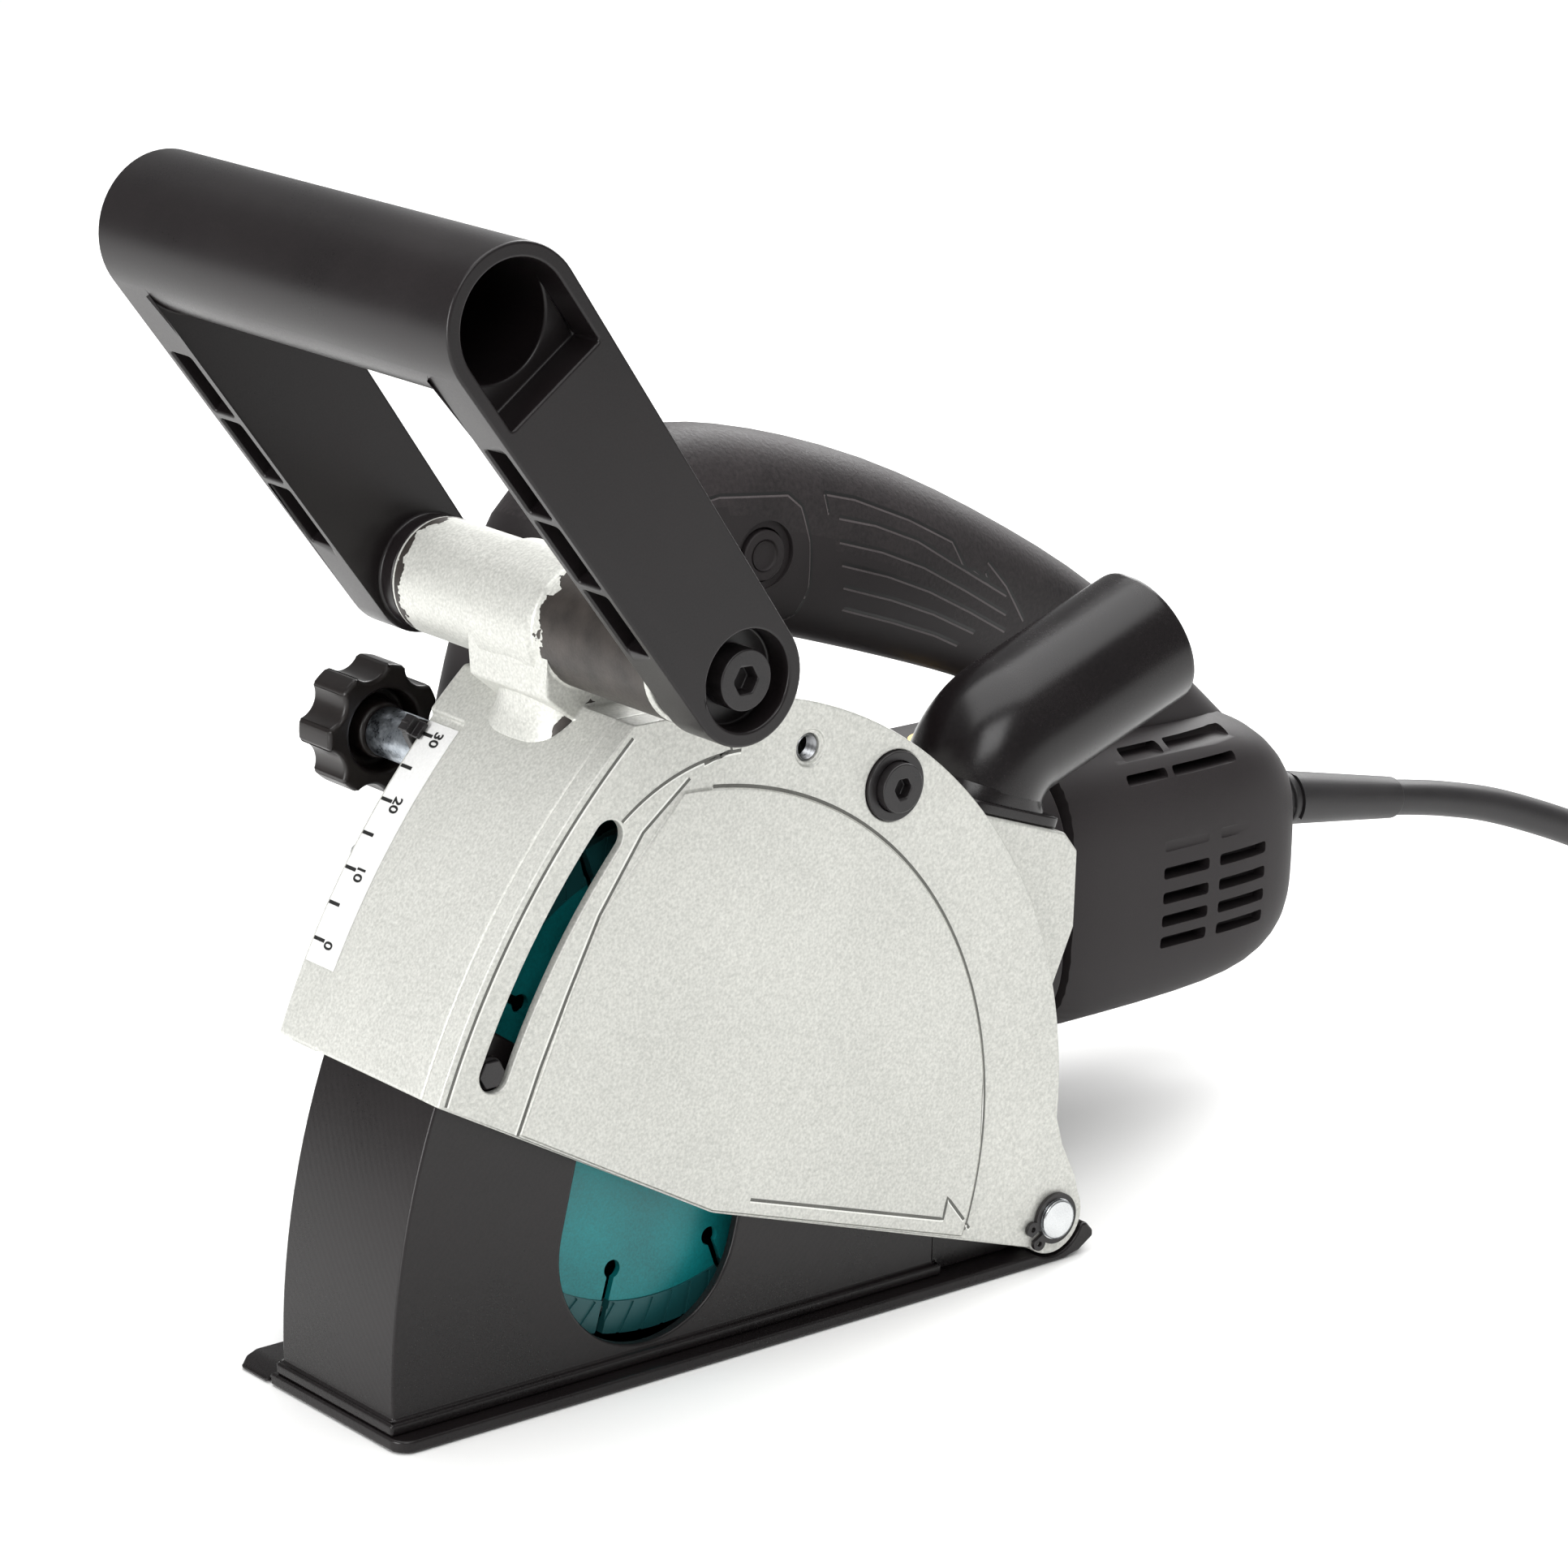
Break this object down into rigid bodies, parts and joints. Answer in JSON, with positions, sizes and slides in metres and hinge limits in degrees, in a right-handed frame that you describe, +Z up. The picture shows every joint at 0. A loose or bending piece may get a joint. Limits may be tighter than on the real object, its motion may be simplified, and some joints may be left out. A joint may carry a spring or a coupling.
{
  "type": "wall chaser",
  "caption": "Corded wall chaser with twin diamond discs in a silver plunging wheel case, hinged on a black slotted sole, with front bail grip, rear handle, depth stop and dust nozzle.",
  "frame": {"origin": "on the sole plane under the hinge pin, midway between the two discs", "axes": "+X is the cutting direction towards the front grip, +Y the tool's left, through the case cover, +Z up"},
  "size_m": [0.7729, 0.1715, 0.2819],
  "materials": {
    "black_casting": "semi-gloss black",
    "silver_paint": "fine sand-textured silver paint",
    "bright_steel": "ground",
    "black_steel": "black oxide",
    "spring_steel": "drawn wire",
    "label": "printed label",
    "black_gloss_plastic": "semi-gloss moulded",
    "black_matte_plastic": "fine moulded grain",
    "soft_rubber": "textured soft overmould",
    "bare_aluminium": "die cast",
    "copper": "enamelled winding",
    "brass": "stamped",
    "carbon": "pressed carbon",
    "teal_disc": "satin paint on steel",
    "gear_steel": "machined",
    "zinc": "zinc plated",
    "cord_rubber": "smooth rubber sheath",
    "pale_plastic": "moulded",
    "pin_metal": "nickel plated"
  },
  "bodies": {
    "head": {"wheel_case": "silver_paint", "case_cover": "silver_paint", "cover_bolt": "black_steel", "depth_scale": "label", "dust_nozzle": "black_gloss_plastic", "nozzle_screw": "zinc", "gear_housing": "bare_aluminium", "gear_screws": "zinc", "bearing_box": "bare_aluminium", "bearing_box_screws": "zinc", "spindle_bearings": "bright_steel", "motor_housing": "black_matte_plastic", "motor_bearings": "bright_steel", "stator_core": "gear_steel", "field_coils": "copper", "brush_holders": "brass", "carbon_brushes": "carbon", "fan_baffle": "black_matte_plastic", "handle_left": "black_matte_plastic", "handle_right": "black_matte_plastic", "handle_overmould": "soft_rubber", "handle_screws": "zinc", "switch_body": "black_matte_plastic", "speed_controller": "black_matte_plastic", "cord_guard": "cord_rubber", "cord_clamp": "black_matte_plastic", "lock_spring": "spring_steel", "power_cord": "cord_rubber", "cord_coil": "cord_rubber", "coil_tie": "soft_rubber", "plug_body": "cord_rubber", "plug_pins": "pin_metal"},
    "base": {"sole_plate": "black_casting", "guard_box": "black_casting", "sole_screws": "zinc", "hinge_pin": "bright_steel", "pin_circlips": "black_steel", "guide_bolt": "black_steel", "plunge_spring": "spring_steel"},
    "cutter": {"spindle": "gear_steel", "ring_gear": "gear_steel", "inner_flange": "gear_steel", "disc_inner": "teal_disc", "disc_outer": "teal_disc", "spacer_rings": "zinc", "lock_nut": "black_steel"},
    "armature": {"armature_shaft": "bright_steel", "armature_core": "gear_steel", "commutator": "copper", "cooling_fan": "pale_plastic", "pinion_gear": "gear_steel"},
    "shaft_lock": {"lock_pin": "black_gloss_plastic"},
    "trigger_body": {"trigger": "black_gloss_plastic"},
    "lock_off": {"lock_button": "black_gloss_plastic"},
    "grip": {"front_grip": "black_gloss_plastic", "grip_bolts": "black_steel"},
    "depth_stop": {"stop_bolt": "zinc", "stop_pointer": "black_steel"},
    "knob": {"stop_knob": "black_gloss_plastic"}
  },
  "joints": [
    {"name": "plunge", "type": "hinge", "parent": "head", "child": "base", "pos_m": [0, 0, 0.0119], "axis": [0, 1, 0], "range_deg": [-18, 0], "stiffness_Nm_per_rad": 5, "springref_deg": 51.57},
    {"name": "spindle_spin", "type": "hinge", "parent": "head", "child": "cutter", "pos_m": [0.1147, 0, 0.0694], "axis": [0, 1, 0], "continuous": true},
    {"name": "armature_spin", "type": "hinge", "parent": "head", "child": "armature", "pos_m": [0, -0.062, 0.0694], "axis": [1, 0, 0], "continuous": true},
    {"name": "shaft_lock_press", "type": "slide", "parent": "head", "child": "shaft_lock", "axis": [-1, 0, 0], "range_m": [0, 0.0025], "stiffness_N_per_m": 800, "springref_m": -0.004},
    {"name": "trigger_pull", "type": "slide", "parent": "head", "child": "trigger_body", "axis": [0, 0, 1], "range_m": [0, 0.004], "stiffness_N_per_m": 1500, "springref_m": -0.004},
    {"name": "lock_off_press", "type": "slide", "parent": "head", "child": "lock_off", "axis": [0, -1, 0], "range_m": [0, 0.0025], "stiffness_N_per_m": 800, "springref_m": -0.003},
    {"name": "front_grip_tilt", "type": "hinge", "parent": "head", "child": "grip", "pos_m": [0.1309, 0, 0.1785], "axis": [0, 1, 0], "range_deg": [-35, 40]},
    {"name": "depth_setting", "type": "hinge", "parent": "head", "child": "depth_stop", "pos_m": [0, 0, 0.0119], "axis": [0, 1, 0], "range_deg": [0, 15.5]},
    {"name": "knob_turn", "type": "hinge", "parent": "depth_stop", "child": "knob", "pos_m": [0.13839, -0.065, 0.13915], "axis": [0, 1, 0], "continuous": true}
  ],
  "couplings": [
    {"joint": "armature_spin", "follows": "spindle_spin", "ratio": 3.1}
  ]
}
